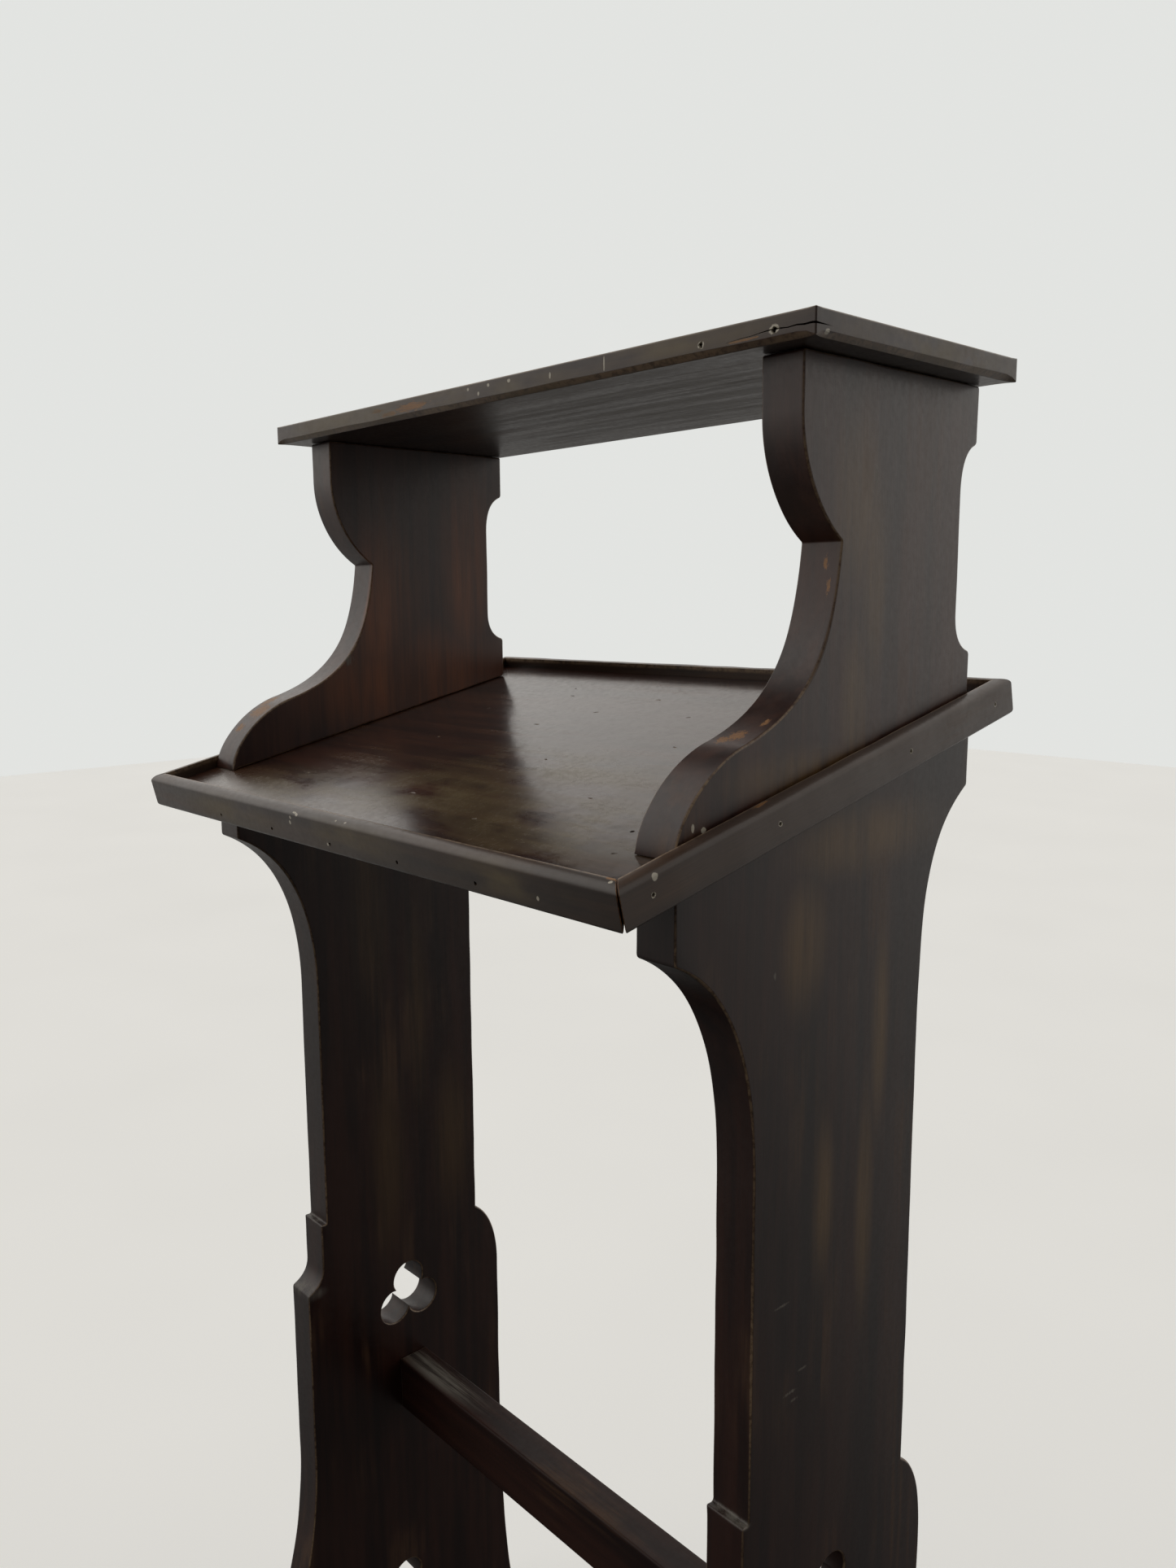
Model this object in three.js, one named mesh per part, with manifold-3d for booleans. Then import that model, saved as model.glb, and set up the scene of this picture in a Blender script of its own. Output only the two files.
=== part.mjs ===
// A two-tier bible stand in dark-stained hardwood.
// Two shaped legs joined by a low rail carry a sloping tray with a mitred lip on all four sides.
// Two shaped supports stand on the tray and carry a level top shelf.
//
// Millimetres, +Z up. The origin is on the floor, under the middle of the stand's outer box.
// +X runs to the stand's right-hand side, and -Y is the reader's side.

import * as THREE from 'three';
import { mergeVertices } from 'three/addons/utils/BufferGeometryUtils.js';
import Module from 'manifold-3d';

const wasm = await Module();
wasm.setup();

// ---------- driving dimensions ----------

const BOARD = 24; // thickness of the legs, supports and rail
const SIDE_OUTER = 212; // X of the outer faces of the legs and supports
const SIDE_INNER = SIDE_OUTER - BOARD;
const FIT = 0.3; // gap left at each glued or resting face

const SHELF = { width: 460, front: -45, depth: 169, thick: 12, top: 980, topChamfer: 1.2, underChamfer: 3 };
const SHELF_UNDERSIDE = SHELF.top - SHELF.thick;

const LIP = { thick: 8, height: 21, topRound: { across: 6, down: 3.6 }, bottomRound: 2.6 };
const CHANNEL = 1.5; // floor left showing between a support and the side lip
const TRAY = {
  slope: THREE.MathUtils.degToRad(13),
  width: 2 * (SIDE_OUTER + CHANNEL + LIP.thick),
  depth: 310,
  thick: 13.5,
  frontY: -148.5, // lower front arris of the front lip
  frontZ: 726.5,
};

const RAIL = { middleY: 17, top: 273, height: 41, tenon: 14, tenonThick: 12, tenonHeight: 32 };

const TREFOIL = { lobe: 13, eye: 5, rise: 13, spread: 12.5 };
const TREFOILS = [{ y: 15, z: 324 }, { y: 6, z: 69 }];

const CLEAT = { side: 18, length: 190, start: 60 };

const CURVE_STEPS = 10; // straight facets along each curved stretch of an outline
const ROUND_STEPS = 10; // facets round a screw or nail
const LOBE_STEPS = 24; // facets round a drilled lobe

// ---------- materials ----------

function material(color, roughness, metalness = 0) {
  return new THREE.MeshStandardMaterial({ color, roughness, metalness });
}

const stainedWood = material(0x2b2220, 0.42);
const trayWood = material(0x352a22, 0.32);
const rawWood = material(0x7a5638, 0.7);
const steel = material(0x4c4744, 0.5, 0.9);

// ---------- making and placing solids ----------

const stand = new THREE.Group();
const tray = new THREE.Group();
tray.position.set(0, TRAY.frontY, TRAY.frontZ);
tray.rotation.x = TRAY.slope;
stand.add(tray);

function toSolid(geometry) {
  const plain = geometry.clone();
  plain.deleteAttribute('normal');
  plain.deleteAttribute('uv');
  const merged = mergeVertices(plain, 1e-4);
  return new wasm.Manifold(new wasm.Mesh({
    numProp: 3,
    vertProperties: new Float32Array(merged.attributes.position.array),
    triVerts: new Uint32Array(merged.index.array),
  }));
}

function toGeometry(solid) {
  const mesh = solid.getMesh();
  const geometry = new THREE.BufferGeometry();
  geometry.setAttribute('position', new THREE.BufferAttribute(mesh.vertProperties, 3));
  geometry.setIndex(new THREE.BufferAttribute(mesh.triVerts, 1));
  geometry.computeVertexNormals();
  return geometry;
}

// The geometry with each of the cutters taken out of it.
function cut(geometry, cutters) {
  const solid = cutters.reduce((left, cutter) => left.subtract(toSolid(cutter)), toSolid(geometry));
  return toGeometry(solid);
}

function add(group, name, geometry, surface) {
  const mesh = new THREE.Mesh(geometry, surface);
  mesh.name = name;
  group.add(mesh);
}

function box(low, high) {
  const size = high.map((value, axis) => value - low[axis]);
  const middle = high.map((value, axis) => (value + low[axis]) / 2);
  return new THREE.BoxGeometry(...size).translate(...middle);
}

// A round bar of the given radii, from one point to another.
function bar(start, end, radii, steps = ROUND_STEPS) {
  const from = new THREE.Vector3(...start);
  const along = new THREE.Vector3(...end).sub(from);
  const [startRadius, endRadius] = radii;
  const geometry = new THREE.CylinderGeometry(endRadius, startRadius, along.length(), steps);
  geometry.translate(0, along.length() / 2, 0);
  const turn = new THREE.Quaternion().setFromUnitVectors(new THREE.Vector3(0, 1, 0), along.clone().normalize());
  return geometry.applyQuaternion(turn).translate(...start);
}

// An outline drawn in the YZ plane, extruded along X from one X to the other.
function slab(outline, fromX, toX) {
  const geometry = new THREE.ExtrudeGeometry(outline, {
    depth: toX - fromX,
    bevelEnabled: false,
    curveSegments: CURVE_STEPS,
  });
  const across = new THREE.Vector3(0, 1, 0);
  const up = new THREE.Vector3(0, 0, 1);
  const through = new THREE.Vector3(1, 0, 0);
  return geometry.applyMatrix4(new THREE.Matrix4().makeBasis(across, up, through)).translate(fromX, 0, 0);
}

const SIDES = [['left', -1], ['right', 1]];

// The X range of a side board, low to high, for the left (-1) or right (1) side.
function sideRange(side) {
  return side < 0 ? [-SIDE_OUTER, -SIDE_INNER] : [SIDE_INNER, SIDE_OUTER];
}

// Height of a plane parallel to the tray, `offset` above its underside, at a given Y.
function trayPlane(y, offset) {
  return TRAY.frontZ + offset / Math.cos(TRAY.slope) + (y - TRAY.frontY) * Math.tan(TRAY.slope);
}

// ---------- screws and nails ----------

const SCREW = { shank: 1.8, head: 3.8, headHeight: 3, clearance: 0.3 };
const NAIL = { shank: 0.8, head: 1.2, headHeight: 1, length: 20, clearance: 0.2 };

// A countersunk screw or nail: its head at `head`, pointing along `direction`.
function fastener(kind, head, direction, length, extra = 0) {
  const start = new THREE.Vector3(...head);
  const unit = new THREE.Vector3(...direction).normalize();
  const at = (distance) => start.clone().addScaledVector(unit, distance).toArray();
  const cone = bar(at(-extra), at(kind.headHeight + extra), [kind.head + extra, kind.shank + extra]);
  const shank = bar(at(kind.headHeight / 2), at(length + extra), [kind.shank + extra, kind.shank + extra]);
  return toGeometry(toSolid(cone).add(toSolid(shank)));
}

// The hole that a fastener sits in, open at its head.
function fastenerHole(kind, head, direction, length) {
  return fastener(kind, head, direction, length, kind.clearance);
}

// ---------- top shelf ----------

const SHELF_SCREW = { length: 38, sink: 1, fromFront: [35, 140] };

function shelfScrews(side) {
  const x = side * (SIDE_OUTER - BOARD / 2);
  return SHELF_SCREW.fromFront.map((y) => ({
    head: [x, SHELF.front + y, SHELF.top - SHELF_SCREW.sink],
    direction: [0, 0, -1],
    length: SHELF_SCREW.length,
  }));
}

// A board lying flat with every arris chamfered, made as a stack of three tapering slices.
function chamferedBoard(low, high, underChamfer, topChamfer) {
  const slice = (inset) => {
    const [left, front, right, back] = [low[0] + inset, low[1] + inset, high[0] - inset, high[1] - inset];
    return [[left, front], [right, front], [right, back], [left, back]];
  };
  const levels = [
    [low[2], underChamfer],
    [low[2] + underChamfer, 0],
    [high[2] - topChamfer, 0],
    [high[2], topChamfer],
  ];
  const positions = levels.flatMap(([z, inset]) => slice(inset).flatMap(([x, y]) => [x, y, z]));
  const index = [0, 2, 1, 0, 3, 2, 12, 13, 14, 12, 14, 15];
  for (let level = 0; level < 3; level += 1) {
    for (let corner = 0; corner < 4; corner += 1) {
      const a = level * 4 + corner;
      const b = level * 4 + ((corner + 1) % 4);
      index.push(a, b, b + 4, a, b + 4, a + 4);
    }
  }
  const geometry = new THREE.BufferGeometry();
  geometry.setAttribute('position', new THREE.Float32BufferAttribute(positions, 3));
  geometry.setIndex(index);
  return geometry;
}

function topShelf() {
  const board = chamferedBoard(
    [-SHELF.width / 2, SHELF.front, SHELF_UNDERSIDE + FIT],
    [SHELF.width / 2, SHELF.front + SHELF.depth, SHELF.top],
    SHELF.underChamfer,
    SHELF.topChamfer,
  );
  const screws = SIDES.flatMap(([, side]) => shelfScrews(side));
  const holes = screws.map((s) => fastenerHole(SCREW, s.head, s.direction, s.length));
  const counterbores = screws.map((s) => {
    const [x, y, z] = s.head;
    const radius = SCREW.head + SCREW.clearance;
    return bar([x, y, z - 0.1], [x, y, z + 2 * SHELF_SCREW.sink], [radius, radius]);
  });
  return cut(board, [...holes, ...counterbores]);
}

// ---------- supports between the tray and the shelf ----------

function supportOutline() {
  const floor = (y) => trayPlane(y, TRAY.thick + FIT);
  const front = -110.3;
  const back = 119.5;
  const waist = 105.3; // the slimmer middle stretch of the back edge
  const outline = new THREE.Shape();
  outline.moveTo(front, floor(front));
  outline.lineTo(back, floor(back));
  // The back edge, hollowed between two square blocks.
  outline.lineTo(back, 830);
  outline.lineTo(back - 1.2, 831.4);
  outline.bezierCurveTo(110, 833.5, waist, 840, waist, 851);
  outline.lineTo(waist, 912);
  outline.bezierCurveTo(waist, 926, 110, 935, back - 1.2, 938);
  outline.lineTo(back, 939.4);
  outline.lineTo(back, SHELF_UNDERSIDE);
  outline.lineTo(-29, SHELF_UNDERSIDE);
  // The front edge: a full round down to a sharp cusp, then an ogee out to the nose.
  outline.lineTo(-29, 943);
  outline.absarc(39, 943, 68, Math.PI, Math.PI + 1.004, false);
  outline.bezierCurveTo(-2.8, 841.7, -12.9, 811.8, -63.8, 795.6);
  outline.bezierCurveTo(-87, 789.4, front, 767.1, front, floor(front));
  return outline;
}

// Screws driven up through the tray board into a support. Y and Z are in the tray's own frame.
const TRAY_SCREW = { length: 38, fromFront: [70, 150, 230] };

function trayScrews(side) {
  const x = side * (SIDE_OUTER - BOARD / 2);
  return TRAY_SCREW.fromFront.map((y) => ({
    head: [x, y, 0.4],
    direction: [0, 0, 1],
    length: TRAY_SCREW.length,
  }));
}

// A cutter drawn in the tray's own frame, moved to where the tray stands.
function placedWithTray(geometry) {
  tray.updateMatrix();
  return geometry.clone().applyMatrix4(tray.matrix);
}

function support(side) {
  const blank = slab(supportOutline(), ...sideRange(side));
  const fromAbove = shelfScrews(side).map((s) => fastenerHole(SCREW, s.head, s.direction, s.length));
  const fromBelow = trayScrews(side).map((s) => placedWithTray(fastenerHole(SCREW, s.head, s.direction, s.length)));
  return cut(blank, [...fromAbove, ...fromBelow]);
}

// ---------- tray: board, four lips and their nails, in the tray's own frame ----------

const HALF_WIDTH = TRAY.width / 2 - LIP.thick; // inner faces of the side lips
const FRONT_INNER = LIP.thick; // inner face of the front lip
const BACK_INNER = TRAY.depth - LIP.thick; // inner face of the back lip

// The lip's section: X is outwards from the board's edge, Y is up. Its outer arrises are rounded.
function lipSection() {
  const section = new THREE.Shape();
  section.moveTo(0, 0);
  section.lineTo(LIP.thick - LIP.bottomRound, 0);
  section.absarc(LIP.thick - LIP.bottomRound, LIP.bottomRound, LIP.bottomRound, -Math.PI / 2, 0, false);
  const { across, down } = LIP.topRound;
  section.absellipse(LIP.thick - across, LIP.height - down, across, down, 0, Math.PI / 2, false, 0);
  section.lineTo(0, LIP.height);
  return section;
}

// A lip of the given inner half length, mitred at 45 degrees at both ends.
// Its length runs along X, and it faces -Y from the line Y = 0.
function mitredLip(innerHalf) {
  const geometry = new THREE.ExtrudeGeometry(lipSection(), { depth: 2, bevelEnabled: false, curveSegments: 6 });
  const position = geometry.attributes.position;
  for (let i = 0; i < position.count; i += 1) {
    const outward = position.getX(i);
    const up = position.getY(i);
    const end = 1 - position.getZ(i);
    position.setXYZ(i, end * (innerHalf + outward - FIT), -outward, up);
  }
  return geometry;
}

// How the nails are spread along a long lip and along a side lip, and their height on it.
const LONG_NAILS = { along: [-126, -63, 0, 63, 126], height: 6 };
const SIDE_NAILS = { along: [-136, -53, 53, 136], height: 10.5 };
const SIDE_HALF = (BACK_INNER - FRONT_INNER) / 2;

// The four lips: name, inner half length, nails, and the turn and shift that put each in its place.
const LIPS = [
  { name: 'front', innerHalf: HALF_WIDTH, nails: LONG_NAILS, turn: 0, x: 0, y: FRONT_INNER },
  { name: 'right', innerHalf: SIDE_HALF, nails: SIDE_NAILS, turn: 90, x: HALF_WIDTH, y: TRAY.depth / 2 },
  { name: 'back', innerHalf: HALF_WIDTH, nails: LONG_NAILS, turn: 180, x: 0, y: BACK_INNER },
  { name: 'left', innerHalf: SIDE_HALF, nails: SIDE_NAILS, turn: 270, x: -HALF_WIDTH, y: TRAY.depth / 2 },
];

const NAIL_SINK = 0.2;

// Nails through one lip into the edge of the board, in the lip's own frame.
function lipNails({ nails }) {
  return nails.along.map((x) => ({
    head: [x, NAIL_SINK - LIP.thick, nails.height],
    direction: [0, 1, 0],
    length: NAIL.length,
  }));
}

function lipPlace(lip) {
  const turn = new THREE.Matrix4().makeRotationZ(THREE.MathUtils.degToRad(lip.turn));
  return new THREE.Matrix4().makeTranslation(lip.x, lip.y, 0).multiply(turn);
}

function placedNailHoles() {
  return LIPS.flatMap((lip) => lipNails(lip).map((nail) => {
    const hole = fastenerHole(NAIL, nail.head, nail.direction, nail.length);
    return hole.applyMatrix4(lipPlace(lip));
  }));
}

function trayBoard() {
  const board = box(
    [-HALF_WIDTH + FIT, FRONT_INNER + FIT, 0],
    [HALF_WIDTH - FIT, BACK_INNER - FIT, TRAY.thick],
  );
  const screws = SIDES.flatMap(([, side]) => [...trayScrews(side), ...cleatScrewsUp(side)]);
  const holes = screws.map((s) => fastenerHole(SCREW, s.head, s.direction, s.length));
  return cut(board, [...holes, ...placedNailHoles()]);
}

function addLips() {
  for (const lip of LIPS) {
    const place = lipPlace(lip);
    const nails = lipNails(lip);
    const holes = nails.map((nail) => fastenerHole(NAIL, nail.head, nail.direction, nail.length));
    add(tray, `lip_${lip.name}`, cut(mitredLip(lip.innerHalf), holes).applyMatrix4(place), stainedWood);
    nails.forEach((nail, i) => {
      const body = fastener(NAIL, nail.head, nail.direction, nail.length);
      add(tray, `lip_nail_${lip.name}_${i + 1}`, body.applyMatrix4(place), steel);
    });
  }
}

// ---------- cleats under the tray, in the tray's own frame ----------

const CLEAT_SCREW = { up: 26, across: 34, upFrom: [30, 95, 160], acrossFrom: [62, 128] };

// Screws up through a cleat into the tray board.
function cleatScrewsUp(side) {
  const x = side * (SIDE_INNER - FIT - CLEAT.side / 2);
  return CLEAT_SCREW.upFrom.map((y) => ({
    head: [x, CLEAT.start + y, -CLEAT.side + 0.4],
    direction: [0, 0, 1],
    length: CLEAT_SCREW.up,
  }));
}

// Screws through a cleat into the leg beside it.
function cleatScrewsAcross(side) {
  const x = side * (SIDE_INNER - FIT - CLEAT.side + 0.4);
  return CLEAT_SCREW.acrossFrom.map((y) => ({
    head: [x, CLEAT.start + y, -CLEAT.side / 2],
    direction: [side, 0, 0],
    length: CLEAT_SCREW.across,
  }));
}

function cleat(side) {
  const inner = side * (SIDE_INNER - FIT - CLEAT.side);
  const outer = side * (SIDE_INNER - FIT);
  const block = box(
    [Math.min(inner, outer), CLEAT.start, -CLEAT.side],
    [Math.max(inner, outer), CLEAT.start + CLEAT.length, -FIT],
  );
  const screws = [...cleatScrewsUp(side), ...cleatScrewsAcross(side)];
  return cut(block, screws.map((s) => fastenerHole(SCREW, s.head, s.direction, s.length)));
}

// ---------- legs ----------

const FOOT = { toeY: -137, toeHeight: 14, heelY: 114, archHeight: 24 };

function legOutline() {
  const underTray = (y) => trayPlane(y, -FIT);
  const front = -109.5;
  const back = 123;
  const shinFront = -54.3; // the long slim stretch below the tray
  const shinBack = 81.7;
  const lowFront = -71.6; // the wider stretch above the feet
  const lowBack = 103.2;
  const flare = { start: 225, radius: 380 };
  const flareTurn = Math.asin((flare.start - FOOT.toeHeight) / flare.radius);
  const outline = new THREE.Shape();
  // Front edge, downwards: block, sweep, shin, ledge, hollow, then the flare to the toe.
  outline.moveTo(front, underTray(front));
  outline.lineTo(front, 705);
  outline.quadraticCurveTo(front, 703.3, -108.3, 702.7);
  outline.bezierCurveTo(-69.4, 684.2, shinFront, 640.9, shinFront, 583.7);
  outline.lineTo(shinFront, 407.5);
  outline.lineTo(-57.6, 407.5);
  outline.quadraticCurveTo(-58.9, 407.5, -58.9, 406.2);
  outline.lineTo(-58.9, 375);
  outline.bezierCurveTo(-58.9, 366, -63, 360.5, -70.4, 357.2);
  outline.quadraticCurveTo(lowFront, 356.6, lowFront, 355.2);
  outline.lineTo(lowFront, flare.start);
  outline.absarc(lowFront - flare.radius, flare.start, flare.radius, 0, -flareTurn, true);
  outline.lineTo(FOOT.toeY, FOOT.toeHeight);
  // Along the floor: toe, shallow arch, heel.
  outline.lineTo(FOOT.toeY, 0);
  outline.lineTo(-92, 0);
  outline.bezierCurveTo(-90, 16, -84, FOOT.archHeight, -66, FOOT.archHeight);
  outline.lineTo(54, FOOT.archHeight);
  outline.bezierCurveTo(70, FOOT.archHeight, 76, 16, 78, 0);
  outline.lineTo(FOOT.heelY, 0);
  // Back edge, upwards: heel, low stretch, shoulder, shin, sweep, block.
  outline.lineTo(FOOT.heelY, FOOT.toeHeight);
  outline.bezierCurveTo(106, 60, lowBack + 0.4, 120, lowBack, 200);
  outline.lineTo(lowBack, 315);
  outline.bezierCurveTo(103.8, 343.1, 95.6, 363.7, shinBack, 372.5);
  outline.lineTo(shinBack, 627);
  outline.bezierCurveTo(shinBack, 706.5, 88.4, 735.3, 122.2, 757.5);
  outline.quadraticCurveTo(back, 758.2, back, 759.6);
  outline.lineTo(back, underTray(back));
  return outline;
}

// Three drilled lobes and the waste between them, as cutters through a leg.
function trefoilCutters({ y, z }, side) {
  const [low, high] = sideRange(side);
  const drill = (dy, dz, radius) => bar([low - 1, y + dy, z + dz], [high + 1, y + dy, z + dz], [radius, radius], LOBE_STEPS);
  const lobes = [
    drill(0, TREFOIL.rise, TREFOIL.lobe),
    drill(-TREFOIL.spread, -TREFOIL.rise / 2, TREFOIL.lobe),
    drill(TREFOIL.spread, -TREFOIL.rise / 2, TREFOIL.lobe),
  ];
  return [...lobes, drill(0, 0.5, TREFOIL.eye)];
}

function mortise(side) {
  const inner = side * (SIDE_INNER - 1);
  const bottom = side * (SIDE_INNER + RAIL.tenon + 1);
  const halfThick = RAIL.tenonThick / 2 + FIT;
  const halfHeight = RAIL.tenonHeight / 2 + FIT;
  const middleZ = RAIL.top - RAIL.height / 2;
  return box(
    [Math.min(inner, bottom), RAIL.middleY - halfThick, middleZ - halfHeight],
    [Math.max(inner, bottom), RAIL.middleY + halfThick, middleZ + halfHeight],
  );
}

function leg(side) {
  const blank = slab(legOutline(), ...sideRange(side));
  const piercings = TREFOILS.flatMap((place) => trefoilCutters(place, side));
  const screws = cleatScrewsAcross(side);
  const holes = screws.map((s) => placedWithTray(fastenerHole(SCREW, s.head, s.direction, s.length)));
  return cut(blank, [...piercings, mortise(side), ...holes]);
}

// ---------- rail between the legs ----------

function rail() {
  const shoulder = SIDE_INNER - FIT;
  const end = SIDE_INNER + RAIL.tenon;
  const halfThick = BOARD / 2;
  const middleZ = RAIL.top - RAIL.height / 2;
  const body = box(
    [-shoulder, RAIL.middleY - halfThick, RAIL.top - RAIL.height],
    [shoulder, RAIL.middleY + halfThick, RAIL.top],
  );
  const tenons = box(
    [-end, RAIL.middleY - RAIL.tenonThick / 2, middleZ - RAIL.tenonHeight / 2],
    [end, RAIL.middleY + RAIL.tenonThick / 2, middleZ + RAIL.tenonHeight / 2],
  );
  return toGeometry(toSolid(body).add(toSolid(tenons)));
}

// ---------- assembly ----------

function addScrews(group, name, screws) {
  screws.forEach((s, i) => {
    add(group, `${name}_${i + 1}`, fastener(SCREW, s.head, s.direction, s.length), steel);
  });
}

add(stand, 'top_shelf', topShelf(), stainedWood);
add(stand, 'stretcher_rail', rail(), stainedWood);
add(tray, 'tray_board', trayBoard(), trayWood);
addLips();
for (const [name, side] of SIDES) {
  add(stand, `support_${name}`, support(side), stainedWood);
  add(stand, `leg_${name}`, leg(side), stainedWood);
  add(tray, `cleat_${name}`, cleat(side), rawWood);
  addScrews(stand, `shelf_screw_${name}`, shelfScrews(side));
  addScrews(tray, `tray_screw_${name}`, trayScrews(side));
  addScrews(tray, `cleat_screw_up_${name}`, cleatScrewsUp(side));
  addScrews(tray, `cleat_screw_across_${name}`, cleatScrewsAcross(side));
}

export default stand;
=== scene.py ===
"""The looks of a two-tier bible stand in dark-stained wood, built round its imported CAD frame.

Outlines are in millimetres in the frame's own axes: +Z up, -Y the reader's side, +X the stand's right.
"""

import math

import bmesh
import bpy
import numpy as np
from mathutils import Matrix, Vector, noise
from mathutils.geometry import delaunay_2d_cdt


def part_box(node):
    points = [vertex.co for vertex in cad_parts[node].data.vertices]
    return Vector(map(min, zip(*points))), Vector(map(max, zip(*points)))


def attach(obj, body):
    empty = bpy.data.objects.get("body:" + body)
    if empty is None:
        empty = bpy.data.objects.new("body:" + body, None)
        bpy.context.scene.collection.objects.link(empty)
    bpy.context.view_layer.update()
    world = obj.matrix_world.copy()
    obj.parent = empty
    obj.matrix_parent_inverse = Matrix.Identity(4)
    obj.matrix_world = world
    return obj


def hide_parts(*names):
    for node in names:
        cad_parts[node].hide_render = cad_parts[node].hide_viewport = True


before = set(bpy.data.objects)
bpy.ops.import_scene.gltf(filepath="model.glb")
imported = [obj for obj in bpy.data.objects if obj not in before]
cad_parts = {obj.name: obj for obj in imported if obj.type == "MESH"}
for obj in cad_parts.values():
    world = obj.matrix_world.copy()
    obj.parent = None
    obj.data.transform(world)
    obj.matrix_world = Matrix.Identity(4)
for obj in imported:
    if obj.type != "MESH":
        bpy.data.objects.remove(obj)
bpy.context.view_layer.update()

MM = 0.001
BODY = "root"

# ---------- sizes, in millimetres ----------

SHELF_LOW, SHELF_HIGH = [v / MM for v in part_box("top_shelf")]
RAIL_LOW, RAIL_HIGH = [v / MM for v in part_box("stretcher_rail")]
SIDE_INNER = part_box("support_right")[0].x / MM
SIDE_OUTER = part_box("support_right")[1].x / MM
SHELF_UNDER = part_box("support_right")[1].z / MM
FIT = 0.3  # the gap that stands for a glue line

SLOPE = math.radians(13)
TRAY_ORIGIN = Vector((0.0, -148.5, 726.5))
TRAY_DEPTH = 310.0
TRAY_THICK = 13.5
LIP_THICK = 8.0
LIP_HEIGHT = 21.0
LIP_INNER = SIDE_OUTER + 1.5
TRAY = Matrix.Translation(TRAY_ORIGIN) @ Matrix.Rotation(SLOPE, 4, "X")
TRAY_UP = TRAY.to_3x3() @ Vector((0, 0, 1))

CURVE_STEP = 1.6
STRAIGHT_STEP = 5.0
CORNER_REACH = 1.8


def tray_plane(y, offset):
    """Height at y of the plane that lies offset above the tray's underside."""
    rise = (y - TRAY_ORIGIN.y) * math.tan(SLOPE)
    return TRAY_ORIGIN.z + offset / math.cos(SLOPE) + rise


# ---------- outlines ----------


class Outline:
    """A closed outline, drawn as a pen would draw it."""

    def __init__(self, x, y):
        self.points = [(x, y)]

    def line(self, x, y):
        x0, y0 = self.points[-1]
        steps = max(1, round(math.hypot(x - x0, y - y0) / STRAIGHT_STEP))
        self.points += [
            (x0 + (x - x0) * i / steps, y0 + (y - y0) * i / steps)
            for i in range(1, steps + 1)
        ]
        return self

    def curve(self, *handles):
        """A Bezier curve from the pen through its handles to the last of them."""
        hull = np.array([self.points[-1], *handles], float)
        length = np.linalg.norm(np.diff(hull, axis=0), axis=1).sum()
        steps = max(3, round(length / CURVE_STEP))
        degree = len(hull) - 1
        for i in range(1, steps + 1):
            t = i / steps
            weights = [
                math.comb(degree, k) * (1 - t) ** (degree - k) * t**k
                for k in range(degree + 1)
            ]
            self.points.append(tuple(np.array(weights) @ hull))
        return self

    def arc(self, cx, cy, radius, start, end):
        steps = max(3, round(abs(end - start) * radius / CURVE_STEP))
        for i in range(1, steps + 1):
            angle = start + (end - start) * i / steps
            self.points.append(
                (cx + radius * math.cos(angle), cy + radius * math.sin(angle))
            )
        return self

    def closed(self, reach=CORNER_REACH):
        if math.dist(self.points[0], self.points[-1]) > 0.01:
            self.line(*self.points[0])
        self.points.pop()
        return eased(np.array(self.points), reach)


def eased(points, reach=CORNER_REACH, sharp=math.radians(18)):
    """The outline with each sharp corner eased into a small round."""
    result = []
    count = len(points)
    for i in range(count):
        here = points[i]
        before = points[i - 1] - here
        after = points[(i + 1) % count] - here
        a, b = np.linalg.norm(before), np.linalg.norm(after)
        turn = math.pi - math.acos(np.clip(before @ after / (a * b), -1, 1))
        if turn < sharp:
            result.append(here)
            continue
        cut = min(reach, 0.45 * a, 0.45 * b)
        start, end = here + before / a * cut, here + after / b * cut
        for t in np.linspace(0, 1, 6):
            result.append((1 - t) ** 2 * start + 2 * t * (1 - t) * here + t * t * end)
    return np.array(result)


def area(points):
    x, y = points[:, 0], points[:, 1]
    return 0.5 * np.sum(x * np.roll(y, -1) - np.roll(x, -1) * y)


def inward(points):
    """For each point, the mitred direction into the material."""
    d0 = points - np.roll(points, 1, axis=0)
    d1 = np.roll(points, -1, axis=0) - points
    d0 /= np.linalg.norm(d0, axis=1, keepdims=True)
    d1 /= np.linalg.norm(d1, axis=1, keepdims=True)
    n0 = np.stack([-d0[:, 1], d0[:, 0]], axis=1)
    n1 = np.stack([-d1[:, 1], d1[:, 0]], axis=1)
    cosine = np.sum(n0 * n1, axis=1, keepdims=True)
    return (n0 + n1) / np.maximum(1 + cosine, 0.2)


WANDER_LENGTH = 31.0
STEEPEST = 0.4  # the most that a radius may change per millimetre of outline
FITTING_ROUNDS = 60


def arris_radii(points, radius, wander, seed):
    """A rounding radius at each point of the outline: it wanders, and it fits every corner."""
    mitre = inward(points)
    edge = np.roll(points, -1, axis=0) - points
    length = np.linalg.norm(edge, axis=1)
    count = len(points)
    radii = np.array([
        radius * (1 + wander * noise.noise(Vector((x / WANDER_LENGTH, y / WANDER_LENGTH, seed))))
        for x, y in points
    ])
    for _ in range(FITTING_ROUNDS):
        ring = points + mitre * radii[:, None]
        inset = np.roll(ring, -1, axis=0) - ring
        folded = np.sum(inset * edge, axis=1) < 0.25 * length**2
        if not folded.any():
            break
        radii[folded | np.roll(folded, 1)] *= 0.75
        for i in list(range(count)) * 2:
            radii[i] = min(radii[i], radii[i - 1] + STEEPEST * length[i - 1])
        for i in list(range(count - 1, -1, -1)) * 2:
            radii[i] = min(radii[i], radii[(i + 1) % count] + STEEPEST * length[i])
    return radii


# ---------- solids ----------

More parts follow.
